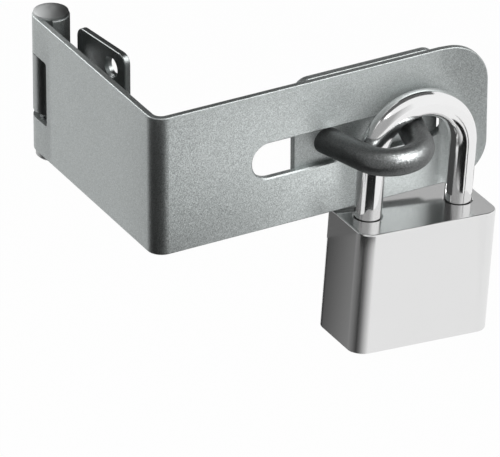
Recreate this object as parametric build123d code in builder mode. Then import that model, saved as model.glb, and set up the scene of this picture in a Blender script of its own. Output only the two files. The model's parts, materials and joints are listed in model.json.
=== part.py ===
from build123d import *
import math
import os

os.makedirs("parts", exist_ok=True)

# Right-angle door hasp, locked by a padlock.
# Millimetres. The origin is the middle of the staple plate's back, on the door's surface.
# +X runs along the long leg to its free end, -Y points out of the door, +Z is up.

# hasp sheet
sheet_t = 2.0
strap_h = 43.0
corner_x = -68.6                 # outer corner of the right-angle bend
bend_r = 4.5                     # outside radius of the bend
strap_face_y = -2 * sheet_t      # outside face of the long leg, lying on the staple plate
tab_x = corner_x + 91.3          # where the free end starts to lift
tab_len = 14.1
tab_lift = 7.5                   # degrees, the finger lift
tab_bend_r = 8.0
tip_r = 12.0
edge_r = 0.35

# hinge
pin_r = 3.4
knuckle_gap = 0.05               # running clearance of the pin
knuckle_r = pin_r + knuckle_gap + sheet_t
roll_r = knuckle_r - sheet_t / 2           # middle of the rolled sheet
roll_arc = 292.0
hinge_x = corner_x + knuckle_r
hinge_y = strap_face_y + 72.9
notch_top, notch_bottom = 9.7, -10.6
notch_reach = 7.2                # from the hinge axis to the notch's edge
notch_r = 1.0
head_r = 5.05
head_t = 1.8
foot_r = 4.9
foot_t = 2.6

# hinge leaf
leaf_open = 6.5                  # degrees from lying parallel with the short leg
leaf_h = 39.6
leaf_start = 8.0                 # distances from the hinge axis along the leaf
leaf_end = 32.3
leaf_hole_far = 25.2
leaf_hole_near = 13.6
leaf_hole_z = 13.8
leaf_corner_r = 3.0
leaf_shoulder_r = 3.0            # corners beside the knuckle
leaf_knuckle_h = 18.2
leaf_knuckle_top = notch_top - 0.2

# screw holes of the leaf and the staple plate
screw_r = 2.5
screw_sink_r = 3.3

# staple
plate_w = 46.5
plate_corner_r = 5.0
plate_hole_x = 36.0              # spacing of the four screws
plate_hole_z = 31.0
bar_r = 4.0
loop_x, loop_z = 0.4, 0.7        # middle of the loop on the plate
loop_pitch = 26.0                # between the loop's two legs at the plate
loop_lean = 16.0                 # degrees, the legs drawing together towards the nose
loop_nose_r = 9.3
rivet_r = 3.25
rivet_flare = 0.75
slot_len = 62.5
slot_h = 11.0
slot_x = corner_x + 62.25

# padlock, drawn in its own plane: top of the case at zero, Z up along the shackle
lock_roll = 4.1                  # degrees, hanging a little askew in the loop
lock = Plane(Location((11.5, -9.2, -23.5), (0, lock_roll, 0)))
case_w, case_d, case_h = 45.0, 23.5, 38.0
case_corner_r = 4.5
case_edge_r = 0.5

shackle_r = 4.0
shackle_bore_r = shackle_r + 0.08
mouth_r, mouth_depth = 4.45, 0.8           # step at the two bores in the case's top
leg_x = 14.8                     # heel at +leg_x, toe at -leg_x
leg_rise = 18.1                  # straight leg above the case
toe_depth = 8.0
toe_bore = 8.6
heel_depth = 24.0
heel_bore = 33.0
neck_r = 2.5
neck_top, neck_bottom = -9.7, -21.5
stop_r = 1.4
stop_z = -11.2
stop_reach = leg_x - neck_r - 0.2          # the pin's end, inside the heel bore

# cylinder and its works
cyl_r = 7.5
cyl_top = -18.5
works_r = 6.6                    # chamber above the cylinder
works_top = -2.9
plug_r = 4.98
plug_bore_r = plug_r + 0.05
flange_r = 5.9
flange_t = 1.2
plug_top = -16.6
clip_z, clip_t = -18.45, 0.7
tail_r = 2.0
tail_flat = 1.6                  # half width across the tail's two flats
tail_top = -9.0
keyway_w, keyway_h = 2.2, 7.0
vane_count = 5
vane_pitch = 2.8
vane_first = -33.8
vane_t, vane_w = 1.0, 6.4
vane_tip_r = 4.88
vane_cuts = [0.6, -0.4, 0.2, -0.8, 0.4]    # key heights of the windows
shell_pin_r = 1.25
shell_pin_z = -30.0
shell_pin_end = -4.0

# latch
latch_z = -6.3                   # underside of the latch bolt
latch_h, latch_w = 3.2, 4.6
latch_slack = 0.1
latch_tip = -10.2
latch_end = 5.9
latch_throw = 2.2
follower_t, follower_w = 1.1, 1.6
follower_bottom = -12.2
cam_low, cam_high = 2.4, 4.6     # radius facing the latch, thrown and drawn back
cam_gap = 0.35
cam_bottom, cam_top = -12.6, -9.2
spring_z = latch_z + latch_h / 2
spring_seat = 8.45

half_h = strap_h / 2
front = Plane(origin=(0, strap_face_y, 0), x_dir=(1, 0, 0), z_dir=(0, -1, 0))
plate_front = Plane(origin=(0, -sheet_t, 0), x_dir=(1, 0, 0), z_dir=(0, -1, 0))
leaf_frame = Plane(Location((hinge_x, hinge_y, 0), (0, 0, leaf_open)))


def lock_front(y=0.0):
    # plane facing the front of the case; its own x and y are the lock's X and Z
    return Plane(lock.from_local_coords((0, y, 0)), x_dir=lock.x_dir, z_dir=-lock.y_dir)


def lock_side(x=0.0):
    # plane facing the heel side of the case; its own x and y are the lock's Y and Z
    return Plane(lock.from_local_coords((x, 0, 0)), x_dir=lock.y_dir, z_dir=lock.x_dir)


# Strap: one sheet bent square, its short leg rolled into two knuckles, its long leg slotted
# and lifted at the free end.
with BuildPart() as strap:
    with BuildSketch(Plane.XY.offset(-half_h)):
        with BuildLine():
            long_y = strap_face_y + sheet_t / 2
            short_x = corner_x + sheet_t / 2
            mid_r = bend_r - sheet_t / 2
            roll = CenterArc((hinge_x, hinge_y), roll_r, 180, -roll_arc)
            short_leg = Line((short_x, hinge_y), (short_x, long_y + mid_r))
            corner = JernArc(short_leg @ 1, short_leg % 1, mid_r, 90)
            long_leg = Line(corner @ 1, (tab_x, long_y))
            lift = JernArc(long_leg @ 1, long_leg % 1, tab_bend_r, -tab_lift)
            tab = Line(lift @ 1, lift @ 1 + (lift % 1) * tab_len)
        trace(line_width=sheet_t)
    extrude(amount=strap_h)
    with BuildSketch(front):
        with Locations((slot_x, 0)):
            SlotOverall(slot_len, slot_h)
    extrude(amount=-2 * sheet_t, mode=Mode.SUBTRACT)
    with BuildSketch(front):
        with Locations((slot_x, 0)):
            SlotOverall(slot_len + 2 * edge_r, slot_h + 2 * edge_r)
    extrude(amount=-edge_r, taper=45, mode=Mode.SUBTRACT)
    with BuildSketch(Plane.YZ.offset(corner_x - 1)):
        with Locations((hinge_y - notch_reach, (notch_top + notch_bottom) / 2)):
            RectangleRounded(8 * knuckle_r, notch_top - notch_bottom, notch_r,
                             align=(Align.MIN, Align.CENTER))
    extrude(amount=3 * knuckle_r, mode=Mode.SUBTRACT)
    tip = strap.faces().sort_by(Axis.X)[-1]
    fillet(tip.edges().sort_by(SortBy.LENGTH)[:2], tip_r)
    rims = strap.edges().group_by(Axis.Z)
    fillet((rims[0] + rims[-1]).filter_by(lambda e: e.length > 2 * sheet_t), edge_r)
strap.part.label = "strap"
export_step(strap.part, "parts/strap.step")

# Hinge pin with a low domed head, its foot peened wide under the lower knuckle.
with BuildPart() as hinge_pin:
    with BuildSketch(Plane(origin=(hinge_x, hinge_y, 0), x_dir=(1, 0, 0), z_dir=(0, -1, 0))):
        with BuildLine():
            head = ThreePointArc((0, half_h + head_t), (head_r * 0.6, half_h + head_t * 0.86),
                                 (head_r, half_h + head_t * 0.45))
            Polyline(head @ 1, (head_r, half_h), (pin_r, half_h), (pin_r, -half_h), (foot_r, -half_h),
                     (foot_r, -half_h - foot_t * 0.7), (foot_r - foot_t * 0.3, -half_h - foot_t),
                     (0, -half_h - foot_t), (0, half_h + head_t))
        make_face()
    revolve(axis=Axis((hinge_x, hinge_y, 0), (0, 0, 1)))
hinge_pin.part.label = "hinge_pin"
export_step(hinge_pin.part, "parts/hinge_pin.step")

# Hinge leaf: a flat plate with one knuckle rolled the other way round the pin.
with BuildPart() as base_leaf:
    with BuildSketch(leaf_frame.offset(-leaf_h / 2)):
        with BuildLine():
            curl = CenterArc((0, 0), roll_r, 0, roll_arc)
            flat = Line((roll_r, 0), (roll_r, -leaf_end))
        trace(line_width=sheet_t)
    extrude(amount=leaf_h)
    knuckle_low = leaf_knuckle_top - leaf_knuckle_h
    with BuildSketch(leaf_frame.offset(-half_h)):
        with Locations((0, -leaf_start)):
            Rectangle(4 * knuckle_r, 4 * knuckle_r, align=(Align.CENTER, Align.MIN))
    extrude(amount=knuckle_low + half_h, mode=Mode.SUBTRACT)
    with BuildSketch(leaf_frame.offset(leaf_knuckle_top)):
        with Locations((0, -leaf_start)):
            Rectangle(4 * knuckle_r, 4 * knuckle_r, align=(Align.CENTER, Align.MIN))
    extrude(amount=half_h, mode=Mode.SUBTRACT)
    for along, corner_r in ((leaf_end, leaf_corner_r), (leaf_start, leaf_shoulder_r)):
        corners = base_leaf.edges().filter_by(lambda e: abs(e.length - sheet_t) < 1e-4)
        corners = corners.filter_by(lambda e: abs(leaf_frame.to_local_coords(e.center()).Y + along) < 1e-3)
        corners = corners.group_by(Axis.Z)
        fillet(corners[0] + corners[-1], corner_r)
    rims = base_leaf.edges().group_by(Axis.Z)
    fillet((rims[0] + rims[-1]).filter_by(lambda e: e.length > 2 * leaf_start), edge_r)
    sink_face = Plane(leaf_frame.from_local_coords((knuckle_r - sheet_t, 0, 0)),
                      x_dir=-leaf_frame.y_dir, z_dir=-leaf_frame.x_dir)
    with Locations(sink_face):
        with Locations((leaf_hole_far, leaf_hole_z), (leaf_hole_far, -leaf_hole_z), (leaf_hole_near, 0)):
            CounterSinkHole(screw_r, screw_sink_r, depth=sheet_t, counter_sink_angle=90)
base_leaf.part.label = "base_leaf"
export_step(base_leaf.part, "parts/base_leaf.step")

# Staple plate, screwed to the door under the strap, with flared holes for the loop's two rivets.
rivets = [(loop_x - loop_pitch / 2, loop_z), (loop_x + loop_pitch / 2, loop_z)]
flare_face = Plane(origin=(0, 0, 0), x_dir=(1, 0, 0), z_dir=(0, -1, 0))
with BuildPart(plate_front) as staple_plate:
    with BuildSketch(plate_front):
        RectangleRounded(plate_w, strap_h, plate_corner_r)
    extrude(amount=-sheet_t)
    fillet(staple_plate.faces().sort_by(Axis.Y)[0].edges(), edge_r)
    with GridLocations(plate_hole_x, plate_hole_z, 2, 2):
        CounterSinkHole(screw_r, screw_sink_r, depth=sheet_t, counter_sink_angle=90)
    with BuildSketch(plate_front):
        with Locations(*rivets):
            Circle(rivet_r)
    extrude(amount=-sheet_t, mode=Mode.SUBTRACT)
    with BuildSketch(flare_face):
        with Locations(*rivets):
            Circle(rivet_r + rivet_flare)
    extrude(amount=rivet_flare, taper=45, mode=Mode.SUBTRACT)
staple_plate.part.label = "staple_plate"
export_step(staple_plate.part, "parts/staple_plate.step")

# Staple loop: round bar bent round a nose, its ends turned down, set through the plate and flared.
nose_y = -sheet_t - loop_pitch / 2 / math.tan(math.radians(loop_lean))
with BuildPart() as staple_loop:
    with BuildLine(Plane.XY.offset(loop_z)) as bar:
        FilletPolyline((loop_x - loop_pitch / 2, -sheet_t), (loop_x, nose_y),
                       (loop_x + loop_pitch / 2, -sheet_t), radius=loop_nose_r)
        bent = bar.wires()[0]
        for end, way in ((bent @ 0, bent % 0), (bent @ 1, -(bent % 1))):
            Line(end, end - way * bar_r)
    path = bar.wires()[0]
    with BuildSketch(Plane(path @ 0, z_dir=path % 0)):
        Circle(bar_r)
    sweep(path=path)
    split(bisect_by=plate_front)
    with BuildSketch(plate_front):
        with Locations(*rivets):
            Circle(rivet_r)
    extrude(amount=-sheet_t)
    with BuildSketch(flare_face):
        with Locations(*rivets):
            Circle(rivet_r + rivet_flare)
    extrude(amount=rivet_flare, taper=45)
staple_loop.part.label = "staple_loop"
export_step(staple_loop.part, "parts/staple_loop.step")

# Padlock case: a solid block bored from above for the shackle and from below for the cylinder,
# with a chamber between them for the latch.
with BuildPart() as lock_case:
    with BuildSketch(lock.offset(-case_h)):
        RectangleRounded(case_w, case_d, case_corner_r)
    extrude(amount=case_h)
    up = Axis(lock.origin, lock.z_dir)
    rims = lock_case.faces().sort_by(up)
    fillet(rims[0].edges() + rims[-1].edges(), case_edge_r)
    for x, depth in ((leg_x, heel_bore), (-leg_x, toe_bore)):
        with BuildSketch(lock.offset(-depth)):
            with Locations((x, 0)):
                Circle(shackle_bore_r)
        extrude(amount=depth, mode=Mode.SUBTRACT)
    with BuildSketch(lock):
        with Locations((leg_x, 0), (-leg_x, 0)):
            Circle(mouth_r)
    extrude(amount=-mouth_depth, mode=Mode.SUBTRACT)
    with BuildSketch(lock.offset(-case_h)):
        Circle(cyl_r)
    extrude(amount=case_h + cyl_top, mode=Mode.SUBTRACT)
    with BuildSketch(lock.offset(cyl_top)):
        Circle(works_r)
    extrude(amount=works_top - cyl_top, mode=Mode.SUBTRACT)
    with BuildSketch(lock.offset(latch_z - latch_slack)):
        Rectangle(leg_x, latch_w + 2 * latch_slack, align=(Align.MAX, Align.CENTER))
    extrude(amount=latch_h + 2 * latch_slack, mode=Mode.SUBTRACT)
    with BuildSketch(lock_side()):
        with Locations((0, stop_z)):
            Circle(stop_r)
    extrude(amount=leg_x, mode=Mode.SUBTRACT)
    with BuildSketch(lock_side()):
        with Locations((0, spring_z)):
            Circle(1.5)
    extrude(amount=spring_seat, mode=Mode.SUBTRACT)
    with BuildSketch(lock_front(shell_pin_end)):
        with Locations((cyl_r, shell_pin_z)):
            Circle(shell_pin_r)
    extrude(amount=-case_d, mode=Mode.SUBTRACT)
lock_case.part.label = "lock_case"
export_step(lock_case.part, "parts/lock_case.step")

# Shackle: round bar bent into a bow, notched at the toe, necked at the heel.
with BuildPart() as shackle:
    with BuildLine(lock_front()) as bow:
        heel = Line((leg_x, -heel_depth), (leg_x, leg_rise))
        crown = ThreePointArc((leg_x, leg_rise), (0, leg_rise + leg_x), (-leg_x, leg_rise))
        toe = Line((-leg_x, leg_rise), (-leg_x, -toe_depth))
    with BuildSketch(lock.offset(-heel_depth)):
        with Locations((leg_x, 0)):
            Circle(shackle_r)
    sweep(path=bow.wires()[0])
    chamfer(shackle.edges().filter_by(GeomType.CIRCLE).group_by(Axis(lock.origin, lock.z_dir))[0], 0.6)
    toe_rim = shackle.faces().filter_by(GeomType.PLANE).sort_by(Axis(lock.origin, lock.x_dir))[0]
    chamfer(toe_rim.edges(), 1.0)
    with BuildSketch(lock.offset(neck_bottom)):
        with Locations((leg_x, 0)):
            Circle(shackle_r + 1)
            Circle(neck_r, mode=Mode.SUBTRACT)
    extrude(amount=neck_top - neck_bottom, mode=Mode.SUBTRACT)
    with BuildSketch(lock.offset(latch_z - 2 * latch_slack)):
        with Locations((-leg_x + shackle_r - latch_throw + 0.4, 0)):
            Rectangle(shackle_r, 3 * shackle_r, align=(Align.MIN, Align.CENTER))
    extrude(amount=latch_h + 4 * latch_slack, mode=Mode.SUBTRACT)
shackle.part.label = "shackle"
export_step(shackle.part, "parts/shackle.step")

# Stop pin, driven into the heel bore from the chamber, which keeps the heel in the case.
with BuildPart() as heel_stop_pin:
    with BuildSketch(lock_side(works_r + 0.2)):
        with Locations((0, stop_z)):
            Circle(stop_r)
    extrude(amount=stop_reach - works_r - 0.2)
heel_stop_pin.part.label = "heel_stop_pin"
export_step(heel_stop_pin.part, "parts/heel_stop_pin.step")

# Coil springs: under the heel, and behind the latch bolt.
wire_r = 0.45
spring_turns = 4
spring_low, spring_high = -heel_bore + wire_r + 0.05, -heel_depth - wire_r - 0.05
with BuildPart() as shackle_spring:
    with BuildLine() as coil:
        Helix((spring_high - spring_low) / spring_turns, spring_high - spring_low, 3.0,
              center=lock.from_local_coords((leg_x, 0, spring_low)), direction=lock.z_dir)
    with BuildSketch(Plane(coil.wires()[0] @ 0, z_dir=coil.wires()[0] % 0)):
        Circle(wire_r)
    sweep(path=coil.wires()[0])
shackle_spring.part.label = "shackle_spring"
export_step(shackle_spring.part, "parts/shackle_spring.step")

fine_r = 0.2
latch_turns = 3
latch_spring_len = spring_seat - latch_end - 2 * fine_r - 0.1
with BuildPart() as latch_spring:
    with BuildLine() as fine_coil:
        Helix(latch_spring_len / latch_turns, latch_spring_len, 1.1, direction=lock.x_dir,
              center=lock.from_local_coords((latch_end + 0.05 + fine_r, 0, spring_z)))
    with BuildSketch(Plane(fine_coil.wires()[0] @ 0, z_dir=fine_coil.wires()[0] % 0)):
        Circle(fine_r)
    sweep(path=fine_coil.wires()[0])
latch_spring.part.label = "latch_spring"
export_step(latch_spring.part, "parts/latch_spring.step")

# Cylinder shell: a sleeve with a counterbore for the plug's flange and two grooves for the vanes.
with BuildPart() as cylinder_shell:
    with BuildSketch(lock.offset(-case_h)):
        Circle(cyl_r - 0.03)
        Circle(plug_bore_r, mode=Mode.SUBTRACT)
    extrude(amount=case_h + cyl_top)
    with BuildSketch(lock.offset(-case_h)):
        Circle(flange_r + 0.05)
    extrude(amount=flange_t + 0.15, mode=Mode.SUBTRACT)
    with BuildSketch(lock.offset(vane_first - vane_pitch / 2)):
        Rectangle(vane_w + 0.4, 2 * plug_bore_r + 2)
    extrude(amount=vane_count * vane_pitch, mode=Mode.SUBTRACT)
    with BuildSketch(lock_front(shell_pin_end)):
        with Locations((cyl_r, shell_pin_z)):
            Circle(shell_pin_r)
    extrude(amount=-case_d, mode=Mode.SUBTRACT)
cylinder_shell.part.label = "cylinder_shell"
export_step(cylinder_shell.part, "parts/cylinder_shell.step")

# Shell pin, driven in from the back between the shell and the case.
with BuildPart() as shell_pin:
    with BuildSketch(lock_front(shell_pin_end)):
        with Locations((cyl_r, shell_pin_z)):
            Circle(shell_pin_r)
    extrude(amount=-(case_d / 2 - shell_pin_end))
shell_pin.part.label = "shell_pin"
export_step(shell_pin.part, "parts/shell_pin.step")

# Key plug: flanged at the mouth, broached for the key, slotted for the vanes, with a flatted tail.
with BuildPart() as key_plug:
    with BuildSketch(lock.offset(-case_h + 0.1)):
        Circle(flange_r)
    extrude(amount=flange_t)
    with BuildSketch(lock.offset(-case_h + 0.1)):
        Circle(plug_r)
    extrude(amount=plug_top + case_h - 0.1)
    with BuildSketch(lock.offset(plug_top)):
        Circle(tail_r)
        Rectangle(2 * tail_r, 2 * tail_flat, mode=Mode.INTERSECT)
    extrude(amount=tail_top - plug_top)
    with BuildSketch(lock.offset(clip_z)):
        Circle(plug_r + 1)
        Circle(plug_r - 0.7, mode=Mode.SUBTRACT)
    extrude(amount=clip_t, mode=Mode.SUBTRACT)
    with BuildSketch(lock.offset(-case_h)):
        SlotOverall(keyway_h, keyway_w, rotation=90)
    extrude(amount=case_h + cyl_top - 1.5, mode=Mode.SUBTRACT)
    for n in range(vane_count):
        with BuildSketch(lock.offset(vane_first + n * vane_pitch - vane_t / 2 - 0.04)):
            Rectangle(vane_w + 0.1, 3 * plug_r)
        extrude(amount=vane_t + 0.08, mode=Mode.SUBTRACT)
key_plug.part.label = "key_plug"
export_step(key_plug.part, "parts/key_plug.step")

# Vanes: five plates with rounded tips, each with a window for its cut of the key.
for n in range(vane_count):
    with BuildPart() as vane:
        with BuildSketch(lock.offset(vane_first + n * vane_pitch - vane_t / 2)):
            Circle(vane_tip_r)
            Rectangle(vane_w, 3 * vane_tip_r, mode=Mode.INTERSECT)
            with Locations((0, vane_cuts[n])):
                Rectangle(keyway_w + 0.2, keyway_h - 1.6, mode=Mode.SUBTRACT)
        extrude(amount=vane_t)
    vane.part.label = f"vane_{n + 1}"
    export_step(vane.part, f"parts/vane_{n + 1}.step")

# Snap ring in the plug's groove, bearing on the shell's inner end.
with BuildPart() as plug_clip:
    with BuildSketch(lock.offset(clip_z + 0.02)):
        Circle(plug_r + 0.9)
        Circle(plug_r - 0.6, mode=Mode.SUBTRACT)
        Rectangle(2 * plug_r, 2.0, align=(Align.MAX, Align.CENTER), mode=Mode.SUBTRACT)
    extrude(amount=clip_t - 0.04)
plug_clip.part.label = "plug_clip"
export_step(plug_clip.part, "parts/plug_clip.step")

# Cam on the plug's tail: its radius grows evenly with the angle, so the latch moves evenly.
cam_lead, cam_trail = 12.0, 102.0          # degrees either side of the drawn-back contact
with BuildPart() as cam:
    with BuildSketch(lock.offset(cam_bottom)):
        with BuildLine():
            ramp = []
            for step in range(9):
                turn = cam_lead - step * (cam_lead + cam_trail) / 8
                reach = cam_high + turn * (cam_high - cam_low) / 90
                ramp.append((reach * math.cos(math.radians(turn)), reach * math.sin(math.radians(turn))))
            flank = Spline(*ramp)
            Line(flank @ 1, (0, 0))
            Line((0, 0), flank @ 0)
        make_face()
        Circle(cam_low + 0.2)
        with BuildSketch(mode=Mode.PRIVATE) as tail_hole:
            Circle(tail_r + 0.02)
            Rectangle(2 * tail_r + 1, 2 * tail_flat + 0.04, mode=Mode.INTERSECT)
        add(tail_hole.sketch, mode=Mode.SUBTRACT)
    extrude(amount=cam_top - cam_bottom)
cam.part.label = "cam"
export_step(cam.part, "parts/cam.step")

# Latch bolt: a bar that locks the toe, with a follower hanging down behind the cam.
with BuildPart() as latch_bolt:
    with BuildSketch(lock.offset(latch_z)):
        with Locations(((latch_tip + latch_end) / 2, 0)):
            Rectangle(latch_end - latch_tip, latch_w)
    extrude(amount=latch_h)
    nose = latch_bolt.faces().sort_by(Axis(lock.origin, lock.x_dir))[0]
    chamfer(nose.edges().sort_by(Axis(lock.origin, lock.z_dir))[-1], 0.8)
    with BuildSketch(lock.offset(follower_bottom)):
        with Locations((cam_high + cam_gap, 0)):
            Rectangle(follower_t, follower_w, align=(Align.MIN, Align.CENTER))
    extrude(amount=latch_z - follower_bottom)
latch_bolt.part.label = "latch_bolt"
export_step(latch_bolt.part, "parts/latch_bolt.step")
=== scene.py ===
import json
import math

import bmesh
import bpy
from mathutils import Matrix, Vector

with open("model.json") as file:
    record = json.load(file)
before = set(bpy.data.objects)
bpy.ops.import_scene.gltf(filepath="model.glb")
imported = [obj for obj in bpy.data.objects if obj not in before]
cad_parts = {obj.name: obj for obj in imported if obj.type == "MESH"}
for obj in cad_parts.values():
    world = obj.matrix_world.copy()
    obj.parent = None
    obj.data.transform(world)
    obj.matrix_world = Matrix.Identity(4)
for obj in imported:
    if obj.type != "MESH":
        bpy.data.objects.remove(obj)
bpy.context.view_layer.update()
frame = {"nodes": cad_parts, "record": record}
nodes = frame["nodes"]
print("frame loaded:", len(nodes), "solids")


# small helpers for node trees

def fill(tree, socket, value):
    # links a socket to another one, or gives it a fixed value
    if isinstance(value, bpy.types.NodeSocket):
        tree.links.new(value, socket)
    else:
        socket.default_value = value


def addNode(tree, kind, operation=None, **inputs):
    node = tree.nodes.new(kind)
    if operation:
        node.operation = operation
    for key, value in inputs.items():
        fill(tree, node.inputs[key.replace("_", " ")], value)
    return node


def combine(tree, kind, operation, *values):
    # a Math or Vector Math node with its inputs in order
    node = addNode(tree, kind, operation)
    for socket, value in zip(node.inputs, values):
        fill(tree, socket, value)
    return node.outputs[0]


def scaled(tree, vector, factor):
    node = addNode(tree, "ShaderNodeVectorMath", "SCALE", Scale=factor)
    fill(tree, node.inputs[0], vector)
    return node.outputs[0]


def spread(tree, value, low, high):
    # takes a 0 to 1 value to the range low to high
    node = addNode(tree, "ShaderNodeMapRange", Value=value, To_Min=low, To_Max=high)
    return node.outputs["Result"]


def around(tree, value, swing):
    # takes a 0 to 1 value to a factor a little under or over 1
    return spread(tree, value, 1 - swing, 1 + swing)


def mixedSurface(tree, share, first, second):
    mix = addNode(tree, "ShaderNodeMixShader", Fac=share)
    tree.links.new(first, mix.inputs[1])
    tree.links.new(second, mix.inputs[2])
    tree.links.new(mix.outputs["Shader"], tree.nodes["Material Output"].inputs["Surface"])


def newMaterial(name):
    made = bpy.data.materials.new(name)
    made.use_nodes = True
    return made, made.node_tree


def newFinish(name):
    finish, tree = newMaterial(name)
    coords = addNode(tree, "ShaderNodeTexCoord").outputs["Object"]
    return finish, tree, tree.nodes["Principled BSDF"], coords


# metallic powder coat: fine flakes, each tilted a little its own way, in a slightly uneven film

coatFilm = {"flakes": 5200, "clouds": 70.0, "cloudDetail": 3.0, "cloudSwing": 0.03,
            "peel": 800, "peelDetail": 2.0, "peelStrength": 0.2, "peelDepth": 0.00005}
hammerGrey = {"name": "sparkle_paint", "colour": (0.425, 0.45, 0.447), "contrast": 0.40,
              "rough": (0.40, 0.50), "tilt": 0.15}
hammerDark = {"name": "dark_paint", "colour": (0.30, 0.315, 0.315), "contrast": 0.20,
              "rough": (0.28, 0.40), "tilt": 0.10}
# loop_paint: partly the loop's own darker paint and partly painted shade, its colour lowered to
# stand in for the dark surroundings the loop reflects
loopPaint = {"name": "loop_paint", "colour": (0.12, 0.125, 0.125), "contrast": 0.40,
             "rough": (0.36, 0.48), "tilt": 0.30}


def powderCoat(kind):
    finish, tree, shader, coords = newFinish(kind["name"])
    flakes = addNode(tree, "ShaderNodeTexVoronoi", Vector=coords, Scale=coatFilm["flakes"])
    flake = flakes.outputs["Color"]
    flakeTone = addNode(tree, "ShaderNodeSeparateColor", Color=flake).outputs
    cloud = addNode(tree, "ShaderNodeTexNoise", Vector=coords, Scale=coatFilm["clouds"],
                    Detail=coatFilm["cloudDetail"])
    flakeLift = around(tree, flakeTone["Red"], kind["contrast"] / 2)
    cloudLift = around(tree, cloud.outputs["Fac"], coatFilm["cloudSwing"])
    lift = combine(tree, "ShaderNodeMath", "MULTIPLY", flakeLift, cloudLift)
    tree.links.new(scaled(tree, kind["colour"], lift), shader.inputs["Base Color"])
    tree.links.new(spread(tree, flakeTone["Green"], *kind["rough"]), shader.inputs["Roughness"])
    shader.inputs["Metallic"].default_value = 1.0
    peel = addNode(tree, "ShaderNodeTexNoise", Vector=coords, Scale=coatFilm["peel"],
                   Detail=coatFilm["peelDetail"])
    film = addNode(tree, "ShaderNodeBump", Height=peel.outputs["Fac"],
                   Strength=coatFilm["peelStrength"], Distance=coatFilm["peelDepth"])
    # each flake's random colour, taken about its middle, leans the normal
    lean = combine(tree, "ShaderNodeVectorMath", "SUBTRACT", flake, (0.5, 0.5, 0.5))
    leant = combine(tree, "ShaderNodeVectorMath", "ADD", film.outputs["Normal"],
                    scaled(tree, lean, kind["tilt"]))
    even = combine(tree, "ShaderNodeVectorMath", "NORMALIZE", leant)
    tree.links.new(even, shader.inputs["Normal"])
    return finish


# plated and plain metals: a brushed or turned grain that follows one direction

grainFilm = {"detail": 3.0, "strength": 0.3, "clouds": 45.0, "cloudDetail": 4.0}
satinPlate = {"name": "satin_case", "colour": (0.78, 0.78, 0.78), "rough": (0.14, 0.20),
              "grain": (5000, 5000, 260), "depth": 0.000001, "cloudSwing": 0.02}
polishedPlate = {"name": "shackle_chrome", "colour": (0.86, 0.86, 0.86), "rough": (0.10, 0.14),
                 "grain": (900, 900, 900), "depth": 0.000001, "cloudSwing": 0.02}
zincPin = {"name": "pin_steel", "colour": (0.46, 0.47, 0.47), "rough": (0.40, 0.52),
           "grain": (2400, 2400, 2400), "depth": 0.000006, "cloudSwing": 0.10}
drawnWire = {"name": "spring_steel", "colour": (0.50, 0.50, 0.52), "rough": (0.22, 0.34),
             "grain": (3000, 3000, 600), "depth": 0.000004, "cloudSwing": 0.08}
turnedBrass = {"name": "brass_works", "colour": (0.78, 0.60, 0.30), "rough": (0.20, 0.32),
               "grain": (600, 600, 7000), "depth": 0.000004, "cloudSwing": 0.08}


def platedMetal(kind):
    finish, tree, shader, coords = newFinish(kind["name"])
    along = addNode(tree, "ShaderNodeMapping", Vector=coords, Scale=kind["grain"])
    grain = addNode(tree, "ShaderNodeTexNoise", Vector=along.outputs["Vector"], Scale=1.0,
                    Detail=grainFilm["detail"]).outputs["Fac"]
    cloud = addNode(tree, "ShaderNodeTexNoise", Vector=coords, Scale=grainFilm["clouds"],
                    Detail=grainFilm["cloudDetail"])
    lift = around(tree, cloud.outputs["Fac"], kind["cloudSwing"])
    tree.links.new(scaled(tree, kind["colour"], lift), shader.inputs["Base Color"])
    tree.links.new(spread(tree, grain, *kind["rough"]), shader.inputs["Roughness"])
    shader.inputs["Metallic"].default_value = 1.0
    bump = addNode(tree, "ShaderNodeBump", Height=grain, Strength=grainFilm["strength"],
                   Distance=kind["depth"])
    tree.links.new(bump.outputs["Normal"], shader.inputs["Normal"])
    return finish


finishes = {kind["name"]: powderCoat(kind) for kind in (hammerGrey, hammerDark, loopPaint)}
for kind in (satinPlate, polishedPlate, zincPin, drawnWire, turnedBrass):
    finishes[kind["name"]] = platedMetal(kind)
for entry in frame["record"]["subparts"]:
    for slot in nodes[entry["node"]].material_slots:
        slot.material = finishes[entry["material_slot"]]
print("finishes:", ", ".join(finishes))


# stage: a pale floor well below the hasp, white all round, and glowing cards that only reflections
# see, which paint dark and bright reflections (painted reflection and painted shade) onto the
# metal

stageSizes = {"floorHalf": 3.0, "floorHeight": -0.30, "floorRough": 0.9, "white": 0.9,
              "glow": 0.97, "worldLight": 0.55}


def seenDirectly(tree):
    # 1 for what the camera sees straight or in metal and glass
    path = addNode(tree, "ShaderNodeLightPath").outputs
    straight = combine(tree, "ShaderNodeMath", "MAXIMUM",
                       path["Is Camera Ray"], path["Is Glossy Ray"])
    return combine(tree, "ShaderNodeMath", "MAXIMUM", straight, path["Is Transmission Ray"])


def meshObject(name, shape):
    mesh = bpy.data.meshes.new(name)
    shape.to_mesh(mesh)
    shape.free()
    made = bpy.data.objects.new(name, mesh)
    bpy.context.scene.collection.objects.link(made)
    return made


def makeFloor(sizes):
    shape = bmesh.new()
    bmesh.ops.create_grid(shape, x_segments=1, y_segments=1, size=sizes["floorHalf"])
    bmesh.ops.translate(shape, verts=shape.verts, vec=(0, 0, sizes["floorHeight"]))
    floor = meshObject("floor", shape)
    pale, tree = newMaterial("floor_white")
    shader = tree.nodes["Principled BSDF"]
    shader.inputs["Base Color"].default_value = (sizes["white"],) * 3 + (1,)
    shader.inputs["Roughness"].default_value = sizes["floorRough"]
    shader.inputs["Specular IOR Level"].default_value = 0.0
    glow = addNode(tree, "ShaderNodeEmission", Strength=1.0)
    share = combine(tree, "ShaderNodeMath", "MULTIPLY", seenDirectly(tree), sizes["glow"])
    mixedSurface(tree, share, shader.outputs["BSDF"], glow.outputs["Emission"])
    floor.data.materials.append(pale)


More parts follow.
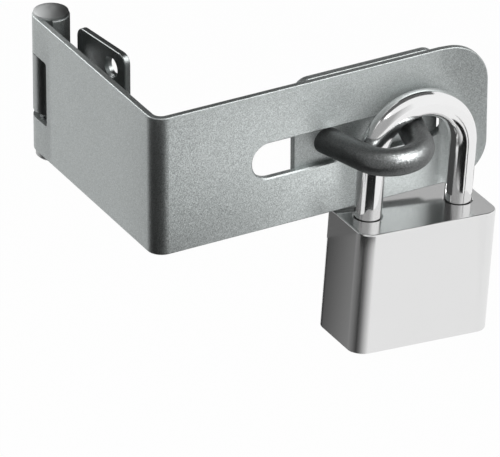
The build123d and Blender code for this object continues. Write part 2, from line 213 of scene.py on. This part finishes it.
def makeWorld(sizes):
    world = bpy.data.worlds.new("studio")
    bpy.context.scene.world = world
    world.use_nodes = True
    tree = world.node_tree
    sky = tree.nodes["Background"]
    sky.inputs["Color"].default_value = (1, 1, 1, 1)
    level = spread(tree, seenDirectly(tree), sizes["worldLight"], 1.0)
    tree.links.new(level, sky.inputs["Strength"])


# azimuths turn from the front, minus to the left; elevations are above the horizon

def fromCentre(azimuth, elevation):
    a, e = math.radians(azimuth), math.radians(elevation)
    return Vector((math.sin(a) * math.cos(e), -math.cos(a) * math.cos(e), math.sin(e)))


# round cards: a profile of distances and heights spun round a centre, with a tone at each end; the
# tones are painted reflections
turnSteps = 24
bendCentre = (-0.064, 0.0)
caseCentre = (-0.012, -0.020)
crownCentre = (0.012, -0.009)
hingeCentre = (-0.063, 0.069)
frontProfile = [(0.14, -0.295), (0.40, -0.295), (0.41, -0.115)]
bendProfile = [(0.03, -0.038), (0.03, 0.022)]
caseProfile = [(0.045, -0.125), (0.045, -0.029)]
cornerProfile = [(0.045, -0.125), (0.045, -0.045)]
crownProfile = [(0.42, 0.085), (0.36, 0.42)]
crownEdge = [(0.42, 0.0), (0.42, 0.085)]
knuckleProfile = [(0.012, -0.014), (0.020, -0.012), (0.020, 0.025)]
pinProfile = [(0.020, 0.025), (0.020, 0.042)]
# painted reflection and painted shade: card_front and card_bend paint the dark band on the bend
# and the shackle's dark streaks; the card_case_ cards paint a shade gradient on the case's left
# side and a bright reflection on its front; the crown cards paint the crown's grey and bright
# streaks; card_knuckle and card_pin_side paint shade on the hinge's right side and the pin's head
roundCards = [
    {"name": "card_front", "centre": (0, 0), "from": -123, "to": 9,
     "tone": (0.012, 0.012), "profile": frontProfile},
    {"name": "card_bend", "centre": bendCentre, "from": -128, "to": -4,
     "tone": (0.05, 0.05), "profile": bendProfile},
    {"name": "card_case_far", "centre": caseCentre, "from": -178, "to": -161,
     "tone": (0.05, 0.06), "profile": caseProfile},
    {"name": "card_case_near", "centre": caseCentre, "from": -161, "to": -145,
     "tone": (0.06, 0.27), "profile": caseProfile},
    {"name": "card_case_side", "centre": caseCentre, "from": -145, "to": -104,
     "tone": (0.27, 0.18), "profile": caseProfile},
    {"name": "card_case_corner", "centre": caseCentre, "from": -104, "to": -68,
     "tone": (0.18, 0.05), "profile": cornerProfile},
    {"name": "card_case_turn", "centre": caseCentre, "from": -68, "to": -44,
     "tone": (0.05, 0.18), "profile": cornerProfile},
    {"name": "card_case_front", "centre": caseCentre, "from": -44, "to": 20,
     "tone": (0.18, 0.92), "profile": cornerProfile},
    {"name": "card_crown_left", "centre": crownCentre, "from": -100, "to": -20,
     "tone": (0.36, 0.42), "profile": crownProfile},
    {"name": "card_crown_right", "centre": crownCentre, "from": -20, "to": 16,
     "tone": (0.42, 0.95), "profile": crownProfile},
    {"name": "card_crown_edge", "centre": crownCentre, "from": -135, "to": -80,
     "tone": (0.04, 0.04), "profile": crownEdge},
    {"name": "card_knuckle", "centre": hingeCentre, "from": 35, "to": 178,
     "tone": (0.01, 0.01), "profile": knuckleProfile},
    {"name": "card_pin_side", "centre": hingeCentre, "from": 40, "to": 138,
     "tone": (0.01, 0.01), "profile": pinProfile},
]
# flat cards have a middle, a width and a height; a one-sided card shows its front alone.
# card_back, card_pin, card_lock_top and card_above paint dark and grey reflections above and
# behind the hasp; the one-sided cards by the heel, the hinge notch and the strap's free end,
# card_loop and card_inside paint shade right by single parts
flatCards = [
    {"name": "card_back", "middle": (0.160, 0.150, 0.224), "wide": 0.370, "high": 0.252,
     "facing": (180, 0), "tone": 0.02},
    {"name": "card_pin", "middle": (0.005, 0.150, 0.039), "wide": 0.060, "high": 0.118,
     "facing": (180, 0), "tone": 0.02},
    {"name": "card_lock_top", "middle": (0.190, 0.150, 0.039), "wide": 0.310, "high": 0.118,
     "facing": (180, 0), "tone": 0.52},
    # painted shade: a dark one-sided sheet beside the shackle's heel darkens its left side
    {"name": "painted_shade_heel", "middle": (0.020, -0.008, -0.0075), "wide": 0.0076, "high": 0.031,
     "facing": (90, 0), "tone": 0.06, "oneSided": True},
    # painted shade: a dark one-sided sheet by the hinge notch
    {"name": "painted_shade_notch", "middle": (-0.0895, 0.0795, -0.0115), "wide": 0.0495, "high": 0.047,
     "facing": (135, 0), "tone": 0.02, "oneSided": True},
    # painted shade: a dark one-sided sheet darkens the strap's lifted free end
    {"name": "painted_shade_end", "middle": (0.0454, -0.0624, -0.032), "wide": 0.060, "high": 0.085,
     "facing": (115, 0), "tone": 0.02, "oneSided": True},
    {"name": "card_loop", "middle": (-0.030, 0.055, 0.075), "wide": 0.070, "high": 0.080,
     "facing": (180, 0), "tone": 0.01},
    {"name": "card_inside", "middle": (-0.0025, 0.0705, -0.035), "wide": 0.125, "high": 0.129,
     "facing": (0, 90), "tone": 0.14},
    {"name": "card_above", "middle": (0.0, 0.065, 0.350), "wide": 0.700, "high": 0.190,
     "facing": (0, 90), "tone": 0.12},
]


def spunShape(card):
    shape = bmesh.new()
    way = fromCentre(card["from"], 0)
    centre = Vector((*card["centre"], 0))
    row = [shape.verts.new(centre + way * away + Vector((0, 0, height)))
           for away, height in card["profile"]]
    edges = [shape.edges.new(pair) for pair in zip(row, row[1:])]
    bmesh.ops.spin(shape, geom=row + edges, cent=centre, axis=(0, 0, 1),
                   angle=math.radians(card["to"] - card["from"]), steps=turnSteps, use_merge=False)
    return shape


def flatShape(card):
    shape = bmesh.new()
    bmesh.ops.create_grid(shape, x_segments=1, y_segments=1, size=0.5)
    bmesh.ops.scale(shape, verts=shape.verts, vec=(card["wide"], card["high"], 1))
    turn = fromCentre(*card["facing"]).to_track_quat("Z", "Y").to_matrix()
    bmesh.ops.rotate(shape, verts=shape.verts, cent=(0, 0, 0), matrix=turn)
    bmesh.ops.translate(shape, verts=shape.verts, vec=card["middle"])
    return shape


def turnTone(tree, card):
    # tone by the turn round the card's centre, even from one end of the card to the other
    coords = addNode(tree, "ShaderNodeTexCoord").outputs["Object"]
    place = combine(tree, "ShaderNodeVectorMath", "SUBTRACT", coords, (*card["centre"], 0))
    split = addNode(tree, "ShaderNodeSeparateXYZ", Vector=place).outputs
    forward = combine(tree, "ShaderNodeMath", "MULTIPLY", split["Y"], -1.0)
    turn = combine(tree, "ShaderNodeMath", "ARCTAN2", split["X"], forward)
    low, high = card["tone"]
    tone = addNode(tree, "ShaderNodeMapRange", Value=turn, From_Min=math.radians(card["from"]),
                   From_Max=math.radians(card["to"]), To_Min=low, To_Max=high)
    return tone.outputs["Result"]


def standCard(card, shape):
    made = meshObject(card["name"], shape)
    made.visible_camera = made.visible_diffuse = made.visible_shadow = False
    sheet, tree = newMaterial(card["name"])
    tone = turnTone(tree, card) if "centre" in card else card["tone"]
    # the card glows with its tone though it is no lamp: a painted reflection, dark or bright
    front = addNode(tree, "ShaderNodeEmission", Strength=tone)
    clear = addNode(tree, "ShaderNodeBsdfTransparent")
    backside = addNode(tree, "ShaderNodeNewGeometry").outputs["Backfacing"]
    share = backside if card.get("oneSided") else 0.0
    mixedSurface(tree, share, front.outputs["Emission"], clear.outputs["BSDF"])
    made.data.materials.append(sheet)


makeFloor(stageSizes)
makeWorld(stageSizes)
for card in roundCards:
    standCard(card, spunShape(card))
for card in flatCards:
    standCard(card, flatShape(card))
print("stage: floor, world,", len(roundCards) + len(flatCards), "cards")


# lamps: a soft key high on the right, a fill and a rim on the left, and panels for single pieces

softLamps = [
    {"name": "key_right", "azimuth": 42, "elevation": 52, "away": 0.80, "size": (0.60, 0.60),
     "power": 4.0, "only": ("strap", "staple_plate", "base_leaf")},
    {"name": "fill_left", "azimuth": -80, "elevation": 45, "away": 0.90, "size": (0.50, 0.50),
     "power": 1.0},
    {"name": "rim_left", "azimuth": 212, "elevation": 25, "away": 0.60, "size": (0.25, 0.25),
     "power": 0.90},
    {"name": "table_bounce", "target": (-0.028, -0.004, 0), "azimuth": 28, "elevation": -29,
     "away": 0.12, "size": (0.075, 0.050), "spread": 28, "power": 0.0006, "only": ("strap",)},
    {"name": "bow_fill", "target": (0.004, -0.004, -0.008), "azimuth": 28.9, "elevation": -38,
     "away": 0.042, "size": (0.035, 0.035), "power": 0.0042, "only": ("strap",),
     "blockers": ("strap",)},
    {"name": "loop_glint", "azimuth": 34, "elevation": 41, "away": 0.40, "size": (0.18, 0.18),
     "power": 5.0, "only": ("staple_loop",)},
    {"name": "lock_strip", "azimuth": -94, "elevation": -26, "away": 0.36, "size": (0.43, 0.30),
     "power": 0.34, "only": ("shackle",)},
    {"name": "lock_top", "azimuth": 152, "elevation": 42, "away": 0.50, "size": (0.50, 0.40),
     "power": 0.40, "only": ("lock_case",), "blockers": ("lock_case", "shackle", "staple_loop")},
]
linkRoles = {"only": "receiver_collection", "blockers": "blocker_collection"}

for lamp in softLamps:
    light = bpy.data.lights.new(lamp["name"], "AREA")
    light.shape = "RECTANGLE"
    light.size, light.size_y = lamp["size"]
    light.energy = lamp["power"]
    light.spread = math.radians(lamp.get("spread", 180))
    holder = bpy.data.objects.new(lamp["name"], light)
    bpy.context.scene.collection.objects.link(holder)
    way = fromCentre(lamp["azimuth"], lamp["elevation"])
    holder.location = Vector(lamp.get("target", (0, 0, 0))) + way * lamp["away"]
    holder.rotation_euler = way.to_track_quat("Z", "Y").to_euler()
    holder.visible_camera = False
    for part, role in linkRoles.items():
        if part in lamp:
            chosen = bpy.data.collections.new(lamp["name"])
            for name in lamp[part]:
                chosen.objects.link(nodes[name])
            setattr(holder.light_linking, role, chosen)
print("lamps:", len(softLamps))


# camera at the photograph's angle, aimed at the middle of the picture

photoCamera = {"target": (-0.0433769, -0.0131031, -0.0142495), "azimuth": -28.876,
               "elevation": 28.653, "roll": 0.169, "away": 1.77623, "lens": 458.241,
               "sensor": 36.0, "clip": (0.05, 20.0)}

camera = bpy.data.cameras.new("photo_camera")
camera.lens = photoCamera["lens"]
camera.sensor_width = photoCamera["sensor"]
camera.clip_start, camera.clip_end = photoCamera["clip"]
cameraHolder = bpy.data.objects.new("photo_camera", camera)
bpy.context.scene.collection.objects.link(cameraHolder)
back = fromCentre(photoCamera["azimuth"], photoCamera["elevation"])
tilt = Matrix.Rotation(math.radians(photoCamera["roll"]), 3, back)
facing = tilt @ back.to_track_quat("Z", "Y").to_matrix()
place = Vector(photoCamera["target"]) + back * photoCamera["away"]
cameraHolder.matrix_world = Matrix.Translation(place) @ facing.to_4x4()
bpy.context.scene.camera = cameraHolder
bpy.context.scene.view_settings.view_transform = "Standard"
print("camera set")
